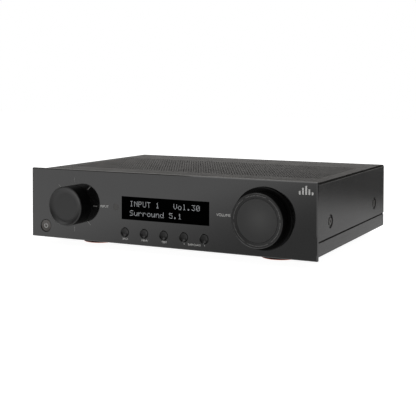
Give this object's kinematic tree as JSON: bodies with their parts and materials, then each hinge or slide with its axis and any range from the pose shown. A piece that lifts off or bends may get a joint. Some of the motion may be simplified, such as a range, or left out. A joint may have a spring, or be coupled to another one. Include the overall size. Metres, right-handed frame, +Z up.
{
  "type": "audio video receiver",
  "caption": "Low wide audio-video receiver with two knobs, push buttons and a display on its front, a perforated cover and rear sockets.",
  "frame": {"origin": "on the floor under the middle of the bounding box, knobs and rear terminals included", "axes": "+X to the right seen from the front, +Y to the back, +Z up; the front panel faces -Y"},
  "size_m": [0.432, 0.3504, 0.109],
  "materials": {
    "panel_metal": "fine satin dark anodising",
    "case_paint": "fine-textured satin black powder coat",
    "knob_metal": "dark anodised, turned",
    "knob_face_metal": "dark anodised, spun face",
    "button_plastic": "satin black",
    "power_metal": "light warm grey, satin",
    "window_plastic": "polished black",
    "lens_plastic": "dark translucent",
    "foot_plastic": "moulded black",
    "ring_plastic": "orange satin",
    "rubber": "matt",
    "black_plastic": "moulded, lightly grained",
    "red_plastic": "moulded red",
    "socket_plastic": "coloured by row",
    "bright_steel": "pressed, nickel plated",
    "screw_steel": "blackened",
    "zinc_steel": "zinc plated sheet",
    "gold_plate": "gold plated",
    "circuit_board": "green solder mask",
    "switch_plastic": "moulded",
    "display_glass": "glass-faced module",
    "winding": "taped winding",
    "capacitor_sleeve": "black sleeve with a bare top",
    "heat_sink_metal": "bare extrusion",
    "cable_plastic": "flat white cable"
  },
  "bodies": {
    "root": {"front_panel": "panel_metal", "front_plate": "zinc_steel", "display_window": "window_plastic", "display_module": "display_glass", "button_switches": "switch_plastic", "remote_window": "lens_plastic", "volume_bezel": "panel_metal", "encoder_bodies": "bright_steel", "encoder_nuts": "bright_steel", "control_board": "circuit_board", "top_cover": "case_paint", "vent_grille": "case_paint", "chassis_tray": "case_paint", "cover_screws": "screw_steel", "rear_screws": "screw_steel", "foot_bodies": "foot_plastic", "foot_rings": "ring_plastic", "foot_pads": "rubber", "foot_screws": "bright_steel", "rear_panel": "case_paint", "terminal_block": "black_plastic", "terminal_studs": "gold_plate", "phono_housing": "black_plastic", "phono_barrels": "gold_plate", "phono_inserts": "socket_plastic", "digital_sockets": "bright_steel", "antenna_socket": "gold_plate", "mains_inlet": "black_plastic", "switch_housing": "black_plastic", "amplifier_board": "circuit_board", "main_board": "circuit_board", "board_pillars": "gold_plate", "ribbon_cable": "cable_plastic", "heat_sink": "heat_sink_metal", "power_transistors": "switch_plastic", "transformer": "winding", "transformer_clamp": "zinc_steel", "filter_capacitors": "capacitor_sleeve"},
    "input_dial": {"input_knob": "knob_metal", "input_shaft": "bright_steel"},
    "volume_dial": {"volume_knob": "knob_metal", "volume_knob_cap": "knob_face_metal", "volume_shaft": "bright_steel"},
    "back_button": {"back_button": "button_plastic"},
    "menu_button": {"menu_button": "button_plastic"},
    "dim_button": {"dim_button": "button_plastic"},
    "previous_button": {"previous_button": "button_plastic"},
    "next_button": {"next_button": "button_plastic"},
    "power_button": {"power_button": "power_metal"},
    "mains_rocker": {"mains_rocker": "button_plastic"},
    "terminal_cap_front_right_red": {"terminal_cap_front_right_red": "red_plastic"},
    "terminal_cap_front_right_black": {"terminal_cap_front_right_black": "button_plastic"},
    "terminal_cap_front_left_red": {"terminal_cap_front_left_red": "red_plastic"},
    "terminal_cap_front_left_black": {"terminal_cap_front_left_black": "button_plastic"},
    "terminal_cap_centre_red": {"terminal_cap_centre_red": "red_plastic"},
    "terminal_cap_centre_black": {"terminal_cap_centre_black": "button_plastic"},
    "terminal_cap_rear_right_red": {"terminal_cap_rear_right_red": "red_plastic"},
    "terminal_cap_rear_right_black": {"terminal_cap_rear_right_black": "button_plastic"},
    "terminal_cap_rear_left_red": {"terminal_cap_rear_left_red": "red_plastic"},
    "terminal_cap_rear_left_black": {"terminal_cap_rear_left_black": "button_plastic"}
  },
  "joints": [
    {"name": "input_turn", "type": "hinge", "parent": "root", "child": "input_dial", "pos_m": [-0.1426, -0.152, 0.0601], "axis": [0, -1, 0], "continuous": true},
    {"name": "volume_turn", "type": "hinge", "parent": "root", "child": "volume_dial", "pos_m": [0.1447, -0.152, 0.0599], "axis": [0, -1, 0], "continuous": true},
    {"name": "back_press", "type": "slide", "parent": "root", "child": "back_button", "axis": [0, 1, 0], "range_m": [0, 0.0012], "stiffness_N_per_m": 800},
    {"name": "menu_press", "type": "slide", "parent": "root", "child": "menu_button", "axis": [0, 1, 0], "range_m": [0, 0.0012], "stiffness_N_per_m": 800},
    {"name": "dim_press", "type": "slide", "parent": "root", "child": "dim_button", "axis": [0, 1, 0], "range_m": [0, 0.0012], "stiffness_N_per_m": 800},
    {"name": "previous_press", "type": "slide", "parent": "root", "child": "previous_button", "axis": [0, 1, 0], "range_m": [0, 0.0012], "stiffness_N_per_m": 800},
    {"name": "next_press", "type": "slide", "parent": "root", "child": "next_button", "axis": [0, 1, 0], "range_m": [0, 0.0012], "stiffness_N_per_m": 800},
    {"name": "power_press", "type": "slide", "parent": "root", "child": "power_button", "axis": [0, 1, 0], "range_m": [0, 0.0012], "stiffness_N_per_m": 800},
    {"name": "mains_switch_tilt", "type": "hinge", "parent": "root", "child": "mains_rocker", "pos_m": [-0.184, 0.157, 0.081], "axis": [1, 0, 0], "range_deg": [-20, 0]},
    {"name": "front_right_red_unscrew", "type": "hinge", "parent": "root", "child": "terminal_cap_front_right_red", "pos_m": [-0.05, 0.1564, 0.065], "axis": [0, 1, 0], "range_deg": [0, 900]},
    {"name": "front_right_black_unscrew", "type": "hinge", "parent": "root", "child": "terminal_cap_front_right_black", "pos_m": [-0.05, 0.1564, 0.041], "axis": [0, 1, 0], "range_deg": [0, 900]},
    {"name": "front_left_red_unscrew", "type": "hinge", "parent": "root", "child": "terminal_cap_front_left_red", "pos_m": [-0.074, 0.1564, 0.065], "axis": [0, 1, 0], "range_deg": [0, 900]},
    {"name": "front_left_black_unscrew", "type": "hinge", "parent": "root", "child": "terminal_cap_front_left_black", "pos_m": [-0.074, 0.1564, 0.041], "axis": [0, 1, 0], "range_deg": [0, 900]},
    {"name": "centre_red_unscrew", "type": "hinge", "parent": "root", "child": "terminal_cap_centre_red", "pos_m": [-0.098, 0.1564, 0.065], "axis": [0, 1, 0], "range_deg": [0, 900]},
    {"name": "centre_black_unscrew", "type": "hinge", "parent": "root", "child": "terminal_cap_centre_black", "pos_m": [-0.098, 0.1564, 0.041], "axis": [0, 1, 0], "range_deg": [0, 900]},
    {"name": "rear_right_red_unscrew", "type": "hinge", "parent": "root", "child": "terminal_cap_rear_right_red", "pos_m": [-0.122, 0.1564, 0.065], "axis": [0, 1, 0], "range_deg": [0, 900]},
    {"name": "rear_right_black_unscrew", "type": "hinge", "parent": "root", "child": "terminal_cap_rear_right_black", "pos_m": [-0.122, 0.1564, 0.041], "axis": [0, 1, 0], "range_deg": [0, 900]},
    {"name": "rear_left_red_unscrew", "type": "hinge", "parent": "root", "child": "terminal_cap_rear_left_red", "pos_m": [-0.146, 0.1564, 0.065], "axis": [0, 1, 0], "range_deg": [0, 900]},
    {"name": "rear_left_black_unscrew", "type": "hinge", "parent": "root", "child": "terminal_cap_rear_left_black", "pos_m": [-0.146, 0.1564, 0.041], "axis": [0, 1, 0], "range_deg": [0, 900]}
  ]
}
